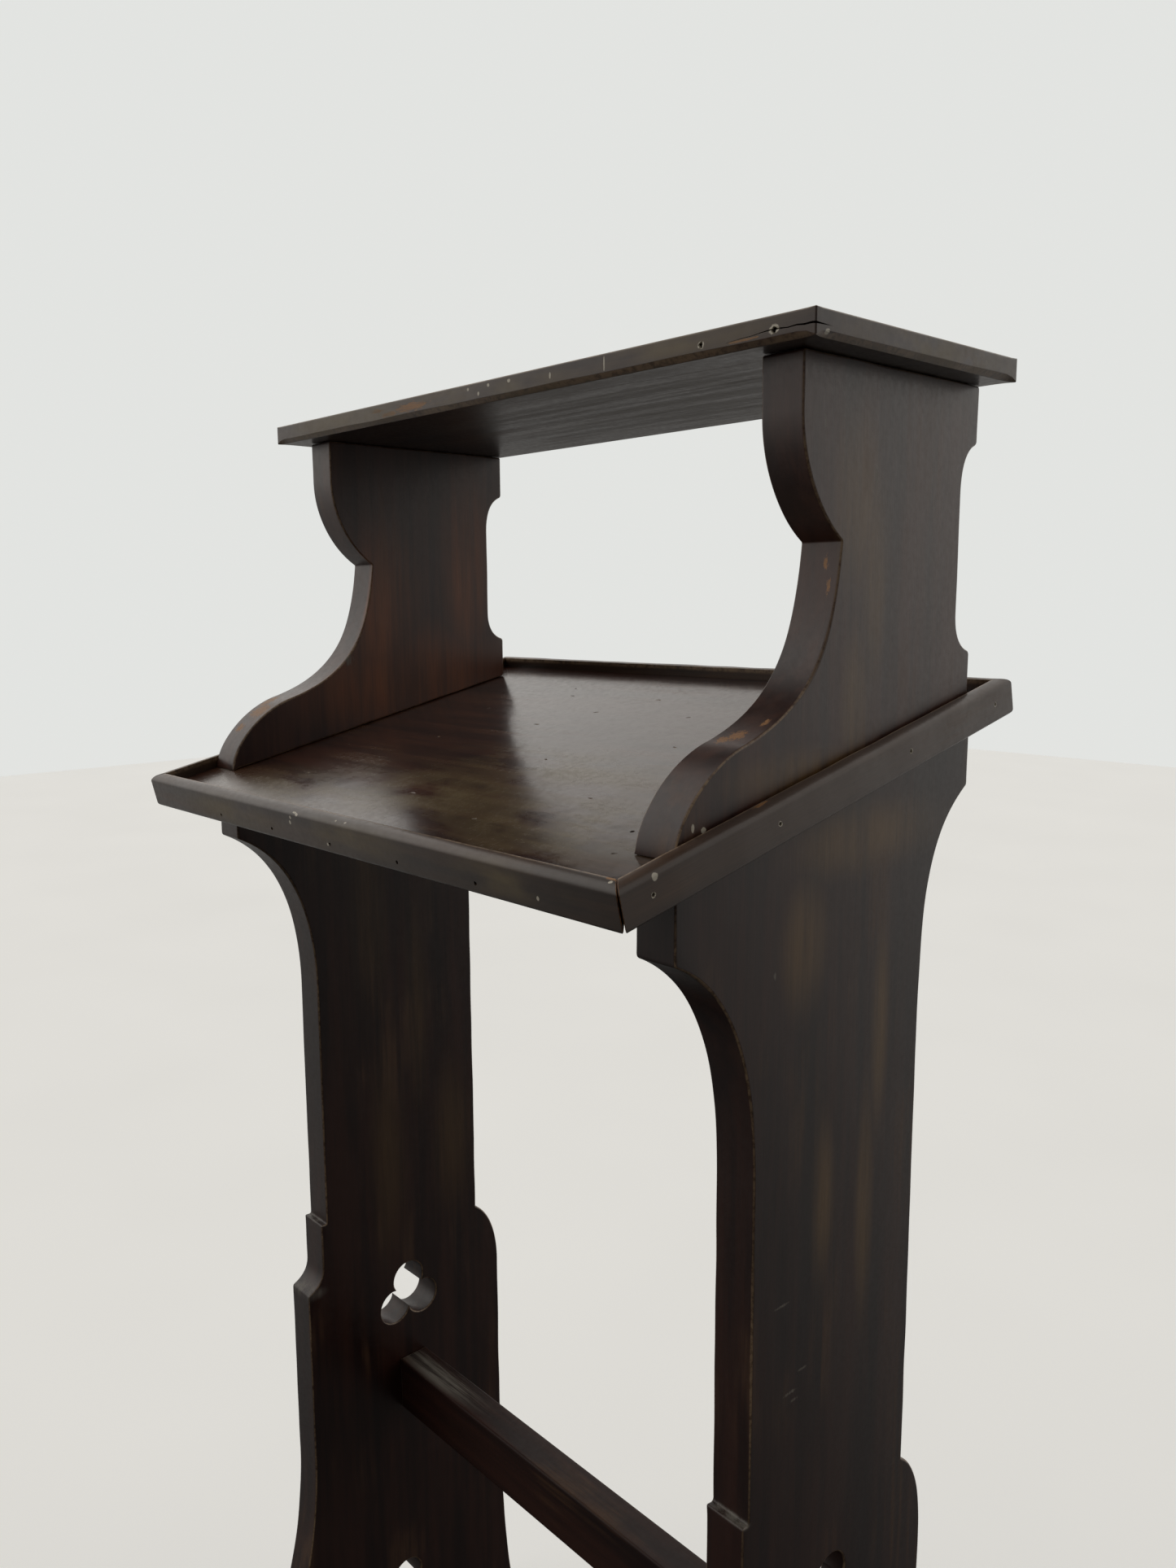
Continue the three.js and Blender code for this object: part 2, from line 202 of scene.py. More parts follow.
ARRIS_STEPS = 4
ROUND = [
    (1 - math.sin(math.pi / 2 * i / ARRIS_STEPS), 1 - math.cos(math.pi / 2 * i / ARRIS_STEPS))
    for i in range(ARRIS_STEPS + 1)
]
CHAMFER = [(1, 0), (0.87, 0.05), (0.46, 0.46), (0.05, 0.87), (0, 1)]
FACE_WEAR_AND_HIGHLIGHT = 0.25  # the wear and painted highlight that a board's faces have, where 1 is the middle of a worn, highlighted arris
SHARP = math.radians(38)  # edges turning more than this stay crisp


def make_mesh(name, vertices, faces, attributes=None):
    """A closed mesh from points in millimetres, with one float per point for each attribute."""
    mesh = bpy.data.meshes.new(name)
    mesh.from_pydata([tuple(v) for v in np.array(vertices) * MM], [], faces)
    for key, values in (attributes or {}).items():
        layer = mesh.attributes.new(key, "FLOAT", "POINT")
        layer.data.foreach_set("value", np.array(values, np.float32))
    mesh.update()
    return mesh


def tidy(mesh):
    """Merges points that coincide, turns the faces outward and shades them smoothly."""
    bm = bmesh.new()
    bm.from_mesh(mesh)
    bmesh.ops.remove_doubles(bm, verts=bm.verts, dist=1e-7)
    bmesh.ops.recalc_face_normals(bm, faces=bm.faces)
    bm.to_mesh(mesh)
    bm.free()
    mesh.polygons.foreach_set("use_smooth", [True] * len(mesh.polygons))


def inside(point, ring):
    """Whether a point lies inside a closed ring, by counting crossings."""
    x, y = point
    x0, y0 = ring[:, 0], ring[:, 1]
    x1, y1 = np.roll(x0, -1), np.roll(y0, -1)
    crossing = (y0 > y) != (y1 > y)
    with np.errstate(divide="ignore", invalid="ignore"):
        at = x0 + (y - y0) * (x1 - x0) / (y1 - y0)
    return np.count_nonzero(crossing & (x < at)) % 2 == 1


def cap(rings, levels, flip):
    """Triangles that fill an outline and leave its holes open. Each ring is a list of vertex numbers."""
    points = [Vector(p) for level in levels for p in level]
    numbers = [n for ring in rings for n in ring]
    edges, start = [], 0
    for level in levels:
        count = len(level)
        edges += [(start + i, start + (i + 1) % count) for i in range(count)]
        start += count
    made, _, triangles, origin, _, _ = delaunay_2d_cdt(points, edges, [], 0, 1e-6)
    faces = []
    for triangle in triangles:
        middle = sum((made[i] for i in triangle), Vector((0, 0))) / 3
        if not inside(middle, levels[0]) or any(inside(middle, hole) for hole in levels[1:]):
            continue
        corners = [numbers[origin[i][0]] for i in triangle]
        faces.append(corners[::-1] if flip else corners)
    return faces


def prism(name, outlines, low, high, place, radius=1.1, wander=0.5, seed=0.0, under=None):
    """A board with rounded arrises, or with chamfers of size under on its low side.

    place turns (u, v, w) arrays into points in the frame.
    """
    vertices, arris, faces = [], [], []
    low_rings, low_levels, high_rings, high_levels = [], [], [], []
    for index, points in enumerate(outlines):
        clockwise = area(points) < 0
        if clockwise == (index == 0):
            points = points[::-1]
        mitre = inward(points)
        radii = arris_radii(points, under or radius, wander, seed)
        radii_high = arris_radii(points, radius, wander, seed + 7)
        count = len(points)
        levels = []
        for step, (inset, rise) in enumerate(CHAMFER if under else ROUND):
            levels.append((radii, inset, rise, 1, math.sin(math.pi * step / ARRIS_STEPS)))
        for step in range(ARRIS_STEPS, -1, -1):
            inset, rise = ROUND[step]
            levels.append((radii_high, inset, rise, -1, math.sin(math.pi * step / ARRIS_STEPS)))
        base = len(vertices)
        for r, inset, rise, side, worn in levels:
            uv = points + mitre * (r * inset)[:, None]
            w = (low if side > 0 else high) + side * r * rise
            vertices += list(place(uv[:, 0], uv[:, 1], w))
            arris += [max(worn, FACE_WEAR_AND_HIGHLIGHT)] * count
        for level in range(len(levels) - 1):
            for i in range(count):
                a = base + level * count + i
                b = base + level * count + (i + 1) % count
                faces.append((a, b, b + count, a + count))
        low_rings.append(list(range(base, base + count)))
        low_levels.append(points + mitre * radii[:, None])
        top = base + (len(levels) - 1) * count
        high_rings.append(list(range(top, top + count)))
        high_levels.append(points + mitre * radii_high[:, None])
    faces += cap(low_rings, low_levels, True)
    faces += cap(high_rings, high_levels, False)
    mesh = make_mesh(name, vertices, faces, {"arris": arris})
    tidy(mesh)
    return mesh


def upright(u, v, w):
    """An outline in the YZ plane, swept along X."""
    return np.stack([w, u, v], axis=1)


def level(u, v, w):
    """An outline in the XY plane, swept along Z."""
    return np.stack([u, v, w], axis=1)


def on_tray(u, v, w):
    """As level, in the tray's own slope."""
    points = np.stack([u, v, w, np.ones(len(u))], axis=1)
    return (points @ np.array(TRAY).T)[:, :3]


def rectangle(x0, y0, x1, y1, reach=CORNER_REACH):
    return Outline(x0, y0).line(x1, y0).line(x1, y1).line(x0, y1).closed(reach)


def placed(name, data):
    obj = bpy.data.objects.new(name, data)
    bpy.context.scene.collection.objects.link(obj)
    return obj


def piece(name, mesh, material, nodes):
    obj = placed(name, mesh)
    obj.data.materials.append(material)
    weighted = obj.modifiers.new("even_shading", "WEIGHTED_NORMAL")
    weighted.keep_sharp = True
    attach(obj, BODY)
    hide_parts(*nodes)
    return obj


def carve(mesh, cutters, name):
    """The mesh with the cutters' meshes taken out of it."""
    target = placed(name + "_blank", mesh)
    bm = bmesh.new()
    for cutter in cutters:
        bm.from_mesh(cutter)
    joined = bpy.data.meshes.new(name + "_cutters")
    bm.to_mesh(joined)
    bm.free()
    tool = placed(name + "_tool", joined)
    cut = target.modifiers.new("cut", "BOOLEAN")
    cut.operation = "DIFFERENCE"
    cut.solver = "EXACT"
    cut.use_self = True
    cut.object = tool
    bpy.context.view_layer.update()
    graph = bpy.context.evaluated_depsgraph_get()
    result = bpy.data.meshes.new_from_object(target.evaluated_get(graph))
    result.name = name
    for obj in (target, tool):
        bpy.data.objects.remove(obj)
    for cutter in cutters:
        bpy.data.meshes.remove(cutter)
    bpy.data.meshes.remove(joined)
    bm = bmesh.new()
    bm.from_mesh(result)
    for face in bm.faces:
        face.smooth = True
    for edge in bm.edges:
        if len(edge.link_faces) == 2 and edge.calc_face_angle(0) > SHARP:
            edge.smooth = False
    bm.to_mesh(result)
    bm.free()
    return result


def lathe(profile, matrix, steps=20, ragged=0.0, seed=0.0):
    """A closed solid of revolution about Z, from (radius, z) pairs that start and end on the axis."""
    vertices, faces = [], []
    rings = []
    for radius, z in profile:
        if radius == 0:
            rings.append([len(vertices)])
            vertices.append((0, 0, z))
            continue
        rings.append(list(range(len(vertices), len(vertices) + steps)))
        for i in range(steps):
            angle = 2 * math.pi * i / steps
            x, y = math.cos(angle), math.sin(angle)
            r = radius * (1 + ragged * noise.noise(Vector((x * 1.7, y * 1.7, z + seed))))
            vertices.append((r * x, r * y, z))
    for a, b in zip(rings, rings[1:]):
        for i in range(steps):
            j = (i + 1) % steps
            if len(a) == 1:
                faces.append((a[0], b[j], b[i]))
            elif len(b) == 1:
                faces.append((a[i], a[j], b[0]))
            else:
                faces.append((a[i], a[j], b[j], b[i]))
    mesh = make_mesh("turned", [matrix @ Vector(v) for v in vertices], faces)
    tidy(mesh)
    return mesh


def pointing(at, direction):
    """The matrix that puts local +Z along direction, at a point in millimetres."""
    turn = Vector(direction).to_track_quat("Z", "Y").to_matrix().to_4x4()
    return Matrix.Translation(Vector(at)) @ turn


# ---------- node materials ----------


class Nodes:
    """A node tree, cleared, with short calls for the nodes that it uses."""

    def __init__(self, owner):
        owner.use_nodes = True
        self.tree = owner.node_tree
        self.tree.nodes.clear()

    def feed(self, socket, value):
        if isinstance(value, bpy.types.NodeSocket):
            self.tree.links.new(value, socket)
        elif value is not None:
            socket.default_value = value

    def frame_mm(self, offset=(0, 0, 0)):
        """Position in the frame, in millimetres."""
        coordinates = self.tree.nodes.new("ShaderNodeTexCoord")
        in_mm = self.vector("MULTIPLY", coordinates.outputs["Object"], (1000, 1000, 1000))
        return self.vector("SUBTRACT", in_mm, tuple(offset))

    def tray_mm(self):
        """Position in the tray's own axes, in millimetres."""
        turned = self.tree.nodes.new("ShaderNodeVectorRotate")
        turned.rotation_type = "X_AXIS"
        self.feed(turned.inputs["Vector"], self.frame_mm(TRAY_ORIGIN))
        turned.inputs["Angle"].default_value = -SLOPE
        return turned.outputs[0]

    def vector(self, operation, a, b=None):
        node = self.tree.nodes.new("ShaderNodeVectorMath")
        node.operation = operation
        self.feed(node.inputs[0], a)
        self.feed(node.inputs[1], b)
        return node.outputs["Value" if operation in ("LENGTH", "DOT_PRODUCT") else "Vector"]

    def math(self, operation, a, b=None, clamp=False):
        node = self.tree.nodes.new("ShaderNodeMath")
        node.operation = operation
        node.use_clamp = clamp
        self.feed(node.inputs[0], a)
        self.feed(node.inputs[1], b)
        return node.outputs[0]

    def noise(self, position, size, detail=3.0, rough=0.55, seed=0.0):
        """Noise whose features are about size (x, y, z) millimetres."""
        stretched = self.vector("MULTIPLY", position, tuple(1 / s for s in size))
        moved = self.vector("ADD", stretched, (seed * 3.1, seed * 1.7, seed * 2.3))
        node = self.tree.nodes.new("ShaderNodeTexNoise")
        self.feed(node.inputs["Vector"], moved)
        node.inputs["Scale"].default_value = 1.0
        node.inputs["Detail"].default_value = detail
        node.inputs["Roughness"].default_value = rough
        return node.outputs["Fac"]

    def span(self, value, low, high, to_low=0.0, to_high=1.0):
        """value carried from low..high to to_low..to_high, smoothly, and held at the ends."""
        node = self.tree.nodes.new("ShaderNodeMapRange")
        node.interpolation_type = "SMOOTHSTEP"
        for socket, number in zip(node.inputs, (value, low, high, to_low, to_high)):
            self.feed(socket, number)
        return node.outputs[0]

    def mix(self, factor, a, b):
        node = self.tree.nodes.new("ShaderNodeMix")
        node.data_type = "RGBA"
        self.feed(node.inputs[0], factor)
        for socket, value in ((node.inputs[6], a), (node.inputs[7], b)):
            self.feed(socket, (*value, 1) if isinstance(value, tuple) else value)
        return node.outputs[2]

    def attribute(self, name):
        node = self.tree.nodes.new("ShaderNodeAttribute")
        node.attribute_name = name
        return node.outputs["Fac"]

    def blob(self, position, centre, radii, edge, wobble):
        """1 inside an ellipsoid, 0 outside, with a soft and uneven edge."""
        away = self.vector("SUBTRACT", position, centre)
        unit = self.vector("MULTIPLY", away, tuple(1 / r for r in radii))
        distance = self.math("ADD", self.vector("LENGTH", unit), wobble)
        return self.span(distance, 1 + edge, 1 - edge)

    def areas(self, position, places, edge, wobble):
        """1 inside any of the (centre, radii) places, 0 outside them all."""
        masks = [self.blob(position, centre, radii, edge, wobble) for centre, radii in places]
        result = masks[0]
        for mask in masks[1:]:
            result = self.math("MAXIMUM", result, mask)
        return result

    def times(self, a, b):
        return self.math("MULTIPLY", a, b)

    def plus(self, a, b):
        return self.math("ADD", a, b)

    def swing(self, value, amount=1.0):
        """A noise turned into an offset on both sides of zero."""
        return self.times(self.math("SUBTRACT", value, 0.5), amount)

    def scaled(self, colour, factor):
        """The colour multiplied by one factor in all its channels."""
        combine = self.tree.nodes.new("ShaderNodeCombineXYZ")
        for socket in combine.inputs:
            self.feed(socket, factor)
        multiply = self.tree.nodes.new("ShaderNodeMix")
        multiply.data_type = "RGBA"
        multiply.blend_type = "MULTIPLY"
        multiply.inputs[0].default_value = 1.0
        self.feed(multiply.inputs[6], colour)
        self.feed(multiply.inputs[7], combine.outputs[0])
        return multiply.outputs[2]

    def bump(self, height, distance, before=None):
        node = self.tree.nodes.new("ShaderNodeBump")
        node.inputs["Strength"].default_value = 1.0
        node.inputs["Distance"].default_value = distance * MM
        self.feed(node.inputs["Height"], height)
        self.feed(node.inputs["Normal"], before)
        return node.outputs[0]


class Shader(Nodes):
    """A material's nodes, round one Principled shader."""

    def __init__(self, name):
        self.material = bpy.data.materials.new(name)
        super().__init__(self.material)
        self.bsdf = self.tree.nodes.new("ShaderNodeBsdfPrincipled")
        output = self.tree.nodes.new("ShaderNodeOutputMaterial")
        self.tree.links.new(self.bsdf.outputs[0], output.inputs[0])

    def surface(self, values):
        for name, value in values.items():
            self.feed(self.bsdf.inputs[name], value)
        return self.material


GRAIN = {
    "X": lambda across, along: (along, across, across),
    "Y": lambda across, along: (across, along, across),
    "Z": lambda across, along: (across, across, along),
}

DEEP = (0.024, 0.0084, 0.0062)
BROWN = (0.063, 0.0225, 0.0135)
RUBBED = (0.11, 0.055, 0.024)
RAW = (0.34, 0.165, 0.06)
SCUFF = (0.17, 0.15, 0.125)
PAINT = (0.58, 0.53, 0.43)
OLIVE = (0.145, 0.105, 0.050)
GLOW = (0.215, 0.064, 0.017)
OLD_GOLD = (0.145, 0.080, 0.027)
# Pale arrises: real wear, lightened further as a painted highlight.
WORN_AND_PAINTED_HIGHLIGHT = (0.29, 0.20, 0.125)
LEG_WARM = (0.075, 0.040, 0.016)
# Stain tones of the legs and the rail, darkened as painted shade for the shade that falls on them low down
# and under the tray.
DEEP_WITH_PAINTED_SHADE = (0.0125, 0.0040, 0.0032)
BROWN_WITH_PAINTED_SHADE = (0.036, 0.0118, 0.0072)
DUST = (0.19, 0.175, 0.15)
EDGE_BROWN = (0.062, 0.033, 0.019)
LIP_DEEP = (0.030, 0.018, 0.012)
SAWN_DARK = (0.20, 0.105, 0.045)
SAWN_LIGHT = (0.33, 0.19, 0.09)
GRIME = (0.07, 0.042, 0.024)
STEEL = (0.11, 0.10, 0.095)
RUST = (0.045, 0.022, 0.012)
FLOOR_DARK = (0.70, 0.70, 0.68)
FLOOR_LIGHT = (0.74, 0.74, 0.72)


RUBBING = 0.5  # how far the rubbed colour covers the stain where hands have rubbed it
COAT_ROUGHNESS = 0.32
DENT_SIZE = 38
DENT_DEPTH = 0.30


def stained(name, along, seed, on_slope=False, deep=DEEP, brown=BROWN, gloss=0.36, relief=0.05, raw=(),
            scuffs=(), specks=(), olive=(), glow=(), warm=GLOW, dusty=(), raw_ends=False, sheen=0.25):
    """Dark-stained wood. along is the axis of its grain.

    raw, scuffs, specks, olive, glow and dusty are lists of (centre, radii): bare wood, pale scuffs,
    paint specks, stain worn thin and dull, stain through which the wood shows warm, and dusty streaks.
    """
    s = Shader(name)
    position = s.tray_mm() if on_slope else s.frame_mm()
    size = GRAIN[along]
    broad = s.noise(position, size(26, 260), 4, 0.6, seed)
    streak = s.noise(position, size(7.5, 150), 4, 0.55, seed + 1)
    fine = s.noise(position, size(0.7, 22), 5, 0.65, seed + 2)
    patch = s.noise(position, size(45, 90), 3, 0.5, seed + 3)
    ragged = s.noise(position, (3.5, 3.5, 3.5), 5, 0.7, seed + 4)
    dents = s.noise(position, (DENT_SIZE, DENT_SIZE, DENT_SIZE), 2, 0.5, seed + 5)
    flaked = s.noise(position, size(1.3, 4.5), 4, 0.65, seed + 6)
    cloud = s.noise(position, size(24, 46), 3, 0.5, seed + 8)

    # the stain, where it is thick, thin and rubbed, and its grain
    tone = s.plus(s.times(broad, 0.65), s.times(streak, 0.35))
    colour = s.mix(s.span(tone, 0.38, 0.62), deep, brown)
    if glow:
        mask = s.times(s.areas(position, glow, 0.75, s.swing(broad)), s.span(tone, 0.36, 0.60, 0.30, 1.0))
        colour = s.mix(mask, colour, warm)
    rub = s.times(s.span(patch, 0.50, 0.70), s.span(streak, 0.42, 0.66))
    colour = s.mix(s.times(rub, RUBBING), colour, RUBBED)
    colour = s.scaled(colour, s.span(fine, 0.35, 0.62, 0.88, 1.07))

    # arrises worn pale, and lightened further as a painted highlight along them
    edge = s.times(s.span(s.attribute("arris"), 0.35, 0.85), s.span(ragged, 0.34, 0.58, 0.25, 1.0))
    edge = s.times(edge, s.span(patch, 0.34, 0.60, 0.45, 1.0))
    colour = s.mix(edge, colour, WORN_AND_PAINTED_HIGHLIGHT)
    roughness = s.plus(s.span(ragged, 0.3, 0.7, gloss - 0.05, gloss + 0.06), s.times(rub, 0.08))

    # marks, each at its own places
    flakes = s.swing(flaked, 3.0)
    layers = []
    if dusty:
        streaks = s.span(s.plus(streak, s.times(fine, 0.6)), 0.62, 0.98)
        layers.append((s.times(s.areas(position, dusty, 0.7, s.swing(broad)), streaks), DUST, 0.22))
    if scuffs:
        area_mask = s.areas(position, scuffs, 0.5, flakes)
        layers.append((s.times(area_mask, s.span(fine, 0.35, 0.6, 0.3, 1.0)), SCUFF, 0.2))
    if raw:
        area_mask = s.areas(position, raw, 0.25, flakes)
        layers.append((s.times(area_mask, s.span(fine, 0.34, 0.5)), RAW, 0.25))
    if olive:
        clouds = s.span(s.plus(cloud, s.times(streak, 0.3)), 0.48, 0.80)
        layers.append((s.times(s.areas(position, olive, 0.8, s.swing(cloud, 1.6)), clouds), OLIVE, 0.12))
    if raw_ends:
        layers.append((s.times(s.attribute("raw"), s.span(ragged, 0.36, 0.5)), RAW, 0.0))
    if specks:
        layers.append((s.areas(position, specks, 0.12, s.swing(ragged, 1.2)), PAINT, 0.0))
    for mask, paint, dullness in layers:
        colour = s.mix(mask, colour, paint)
        if dullness:
            roughness = s.plus(roughness, s.times(mask, dullness))

    normal = s.bump(s.plus(s.times(fine, 0.5), s.times(streak, 0.8)), relief)
    return s.surface({
        "Base Color": colour, "Roughness": roughness, "Normal": s.bump(dents, DENT_DEPTH, normal),
        "Coat Weight": sheen, "Coat Roughness": COAT_ROUGHNESS, "Specular IOR Level": 0.2 + 1.2 * sheen,
    })


def bare_wood(name, along, seed):
    """Unstained, sawn softwood that has darkened with age."""
    s = Shader(name)
    position = s.tray_mm()
    size = GRAIN[along]
    rings = s.noise(position, size(3, 180), 4, 0.6, seed)
    fine = s.noise(position, size(0.5, 14), 5, 0.7, seed + 1)
    dirt = s.noise(position, (22, 22, 22), 4, 0.6, seed + 2)
    colour = s.mix(s.span(rings, 0.35, 0.65), SAWN_DARK, SAWN_LIGHT)
    colour = s.mix(s.span(dirt, 0.4, 0.75, 0, 0.7), colour, GRIME)
    roughness = s.span(fine, 0.3, 0.7, 0.6, 0.82)
    return s.surface({"Base Color": colour, "Roughness": roughness, "Normal": s.bump(fine, 0.25)})


def old_steel(name, seed):
    """Screws and nails: steel gone brown and dull in patches."""
    s = Shader(name)
    position = s.frame_mm()
    rust = s.noise(position, (1.1, 1.1, 1.1), 5, 0.7, seed)
    colour = s.mix(s.span(rust, 0.4, 0.62), STEEL, RUST)
    return s.surface({
        "Base Color": colour, "Roughness": s.span(rust, 0.35, 0.65, 0.38, 0.75),
        "Metallic": s.span(rust, 0.45, 0.65, 0.95, 0.3), "Normal": s.bump(rust, 0.08),
    })


# ---------- outlines of the boards ----------


def support_outline():
    front, back, waist = -110.3, 119.5, 105.3
    foot = lambda y: tray_plane(y, TRAY_THICK + FIT)
    pen = Outline(front, foot(front)).line(back, foot(back)).line(back, 830).line(back - 1.2, 831.4)
    pen.curve((110, 833.5), (waist, 840), (waist, 851)).line(waist, 912)
    pen.curve((waist, 926), (110, 935), (back - 1.2, 938)).line(back, 939.4)
    pen.line(back, SHELF_UNDER).line(-29, SHELF_UNDER).line(-29, 943)
    pen.arc(39, 943, 68, math.pi, math.pi + 1.004)
    pen.curve((-2.8, 841.7), (-12.9, 811.8), (-63.8, 795.6))
    pen.curve((-87, 789.4), (front, 767.1), (front, foot(front)))
    return pen.closed()


def leg_outline():
    front, back = -109.5, 123.0
    shin_front, shin_back = -54.3, 81.7
    low_front, low_back = -71.6, 103.2
    toe, heel, block, arch = -137.0, 114.0, 14.0, 24.0
    under = lambda y: tray_plane(y, -FIT)
    flare_turn = math.asin((225 - block) / 380)
    pen = Outline(front, under(front)).line(front, 705).curve((front, 703.3), (-108.3, 702.7))
    pen.curve((-69.4, 684.2), (shin_front, 640.9), (shin_front, 583.7)).line(shin_front, 407.5)
    pen.line(-57.6, 407.5).curve((-58.9, 407.5), (-58.9, 406.2)).line(-58.9, 375)
    pen.curve((-58.9, 366), (-63, 360.5), (-70.4, 357.2)).curve((low_front, 356.6), (low_front, 355.2))
    pen.line(low_front, 225).arc(low_front - 380, 225, 380, 0, -flare_turn)
    pen.line(toe, block).line(toe, 0).line(-92, 0)
    pen.curve((-90, 16), (-84, arch), (-66, arch)).line(54, arch)
    pen.curve((70, arch), (76, 16), (78, 0)).line(heel, 0).line(heel, block)
    pen.curve((106, 60), (low_back + 0.4, 120), (low_back, 200)).line(low_back, 315)
    pen.curve((103.8, 343.1), (95.6, 363.7), (shin_back, 372.5)).line(shin_back, 627)
    pen.curve((shin_back, 706.5), (88.4, 735.3), (122.2, 757.5)).curve((back, 758.2), (back, 759.6))
    pen.line(back, under(back))
    return pen.closed()


LOBE = 13.0
RISE = 13.0
SPREAD = 12.5


def trefoil(y, z):
    """The outline of three drilled lobes that run into each other."""
    centres = [(y, z + RISE), (y - SPREAD, z - RISE / 2), (y + SPREAD, z - RISE / 2)]
    middle = np.mean(centres, axis=0)
    points = []
    count = 108
    for i in range(count):
        angle = math.pi / 2 + 2 * math.pi * i / count
        ray = np.array([math.cos(angle), math.sin(angle)])
        reach = 0.0
        for c in centres:
            away = np.array(c) - middle
            along = away @ ray
            off = away @ away - along * along
            if off < LOBE * LOBE:
                reach = max(reach, along + math.sqrt(LOBE * LOBE - off))
        points.append(middle + ray * max(reach, 5.0))
    return np.array(points)


# ---------- the stage ----------


FLOOR_REACH = 6000
FLOOR_LIFT = 0.42  # keeps the floor pale in the dim room


def backdrop():
    paint = Shader("backdrop_paint")
    soft = paint.noise(paint.frame_mm(), (400, 400, 400), 2, 0.5, 3)
    colour = paint.mix(soft, FLOOR_DARK, FLOOR_LIGHT)
    material = paint.surface({
        "Base Color": colour, "Emission Color": colour, "Emission Strength": FLOOR_LIFT, "Roughness": 0.9,
    })
    corners = [(x * FLOOR_REACH, y * FLOOR_REACH, 0) for x, y in ((-1, -1), (1, -1), (1, 1), (-1, 1))]
    mesh = make_mesh("floor", corners, [(0, 1, 2, 3)])
    floor = placed("floor", mesh)
    floor.data.materials.append(material)
    floor.visible_diffuse = False
    floor.visible_glossy = False


# Soft bright patches of the room round the stand, each a direction and a strength, over a dim room.
ROOM = [
    ((0.41, 0.71, 0.57), 0.50), ((-0.41, 0.71, 0.57), 0.36), ((-0.82, 0, 0.57), 0.485),
    ((-0.41, -0.71, 0.57), 0.601), ((0.82, 0, 0.57), 0.062), ((0.41, -0.71, 0.57), 0.04),
    ((0, 1, 0.05), 0.441), ((-1, 0, 0.05), 0.341), ((0.71, 0.71, 0.05), 0.076),
    ((-0.71, -0.71, 0.05), 0.05),
]
PATCH_REACH = (math.cos(math.radians(58)), math.cos(math.radians(6)))
ROOM_DIM = 0.03
ROOM_COLOUR = (1.0, 0.965, 0.915, 1)
BACKGROUND = (0.765, 0.775, 0.755, 1)


def studio():
    """A pale backdrop for the camera, and a softly lit room for the stand."""
    world = bpy.data.worlds.new("studio")
    bpy.context.scene.world = world
    nodes = Nodes(world)
    new, link = nodes.tree.nodes.new, nodes.tree.links.new
    direction = new("ShaderNodeTexCoord").outputs["Generated"]
    total = ROOM_DIM
    for towards, strength in ROOM:
        facing = nodes.vector("DOT_PRODUCT", direction, Vector(towards).normalized())
        total = nodes.plus(nodes.span(facing, *PATCH_REACH, 0.0, strength), total)
    lit, seen = new("ShaderNodeBackground"), new("ShaderNodeBackground")
    lit.inputs["Color"].default_value = ROOM_COLOUR
    nodes.feed(lit.inputs["Strength"], total)
    seen.inputs["Color"].default_value = BACKGROUND
    chosen = new("ShaderNodeMixShader")
    link(new("ShaderNodeLightPath").outputs["Is Camera Ray"], chosen.inputs[0])
    link(lit.outputs[0], chosen.inputs[1])
    link(seen.outputs[0], chosen.inputs[2])
    link(chosen.outputs[0], new("ShaderNodeOutputWorld").inputs[0])
    bpy.context.scene.view_settings.view_transform = "Standard"


IMAGE_HEIGHT = 1927
FOCAL_LENGTH = 1478.37  # in the same units as the image's height
SENSOR = 36.0
CAMERA_AT = (0.55165, -0.4715, 0.8567)
CAMERA_TURNS = (47.41, -8.47, -0.31)  # yaw, pitch and roll, in degrees


def camera():
    data = bpy.data.cameras.new("camera")
    data.sensor_fit = "VERTICAL"
    data.sensor_height = SENSOR
    data.lens = FOCAL_LENGTH / IMAGE_HEIGHT * SENSOR
    data.clip_start = 0.05
    data.clip_end = 50
    view = placed("camera", data)
    yaw, pitch, roll = (math.radians(a) for a in CAMERA_TURNS)
    forward = Vector((-math.sin(yaw) * math.cos(pitch), math.cos(yaw) * math.cos(pitch), math.sin(pitch)))
    right = Vector((math.cos(yaw), math.sin(yaw), 0))
    up = right.cross(forward)
    x = math.cos(roll) * right + math.sin(roll) * up
    y = -math.sin(roll) * right + math.cos(roll) * up
    turn = Matrix((x, y, -forward)).transposed()
    view.matrix_world = Matrix.Translation(CAMERA_AT) @ turn.to_4x4()
    bpy.context.scene.camera = view


# ---------- the legs and supports ----------

SIDES = ((-1, "left"), (1, "right"))
TREFOILS = (trefoil(15, 324), trefoil(6, 69))


SEEN_FACE = {"left": -SIDE_INNER, "right": SIDE_OUTER}
MARK_DEPTH = 3

# Marks on each side's seen face: across and up to the middle, then the half width and half height.
SUPPORT_GLOW = {
    "left": [(30, 803, 75, 30), (5, 850, 26, 50), (84, 890, 16, 60)],
    "right": [(16, 808, 9, 30), (14, 905, 15, 34), (30, 870, 8, 40), (-20, 779, 46, 9)],
}
LEG_GLOW = {
    "left": [(30, 560, 8, 60), (-10, 640, 12, 60), (60, 440, 14, 50), (0, 440, 12, 70)],
    "right": [(30, 742, 50, 14), (46, 640, 6, 45), (36, 545, 6, 50), (0, 560, 7, 35), (-20, 695, 14, 26)],
}
LEG_SCRATCHES = {
    "left": [],
    "right": [(-32, 514.6, 4.5, 0.6), (-14.4, 473.2, 3.4, 0.6), (-24, 464.3, 4.4, 0.7),
              (-20.6, 459, 2.8, 0.7), (-41.8, 685, 0.8, 1.4)],
}
SUPPORT_SPECKS = {"left": [], "right": [(-99, 762.6, 0.9, 2.0), (-92.4, 761, 1.6, 1.3)]}
SUPPORT_SCUFFS = {"left": [], "right": [(-12.2, 938, 0.8, 3.4), (29, 917.5, 0.9, 4.5)]}

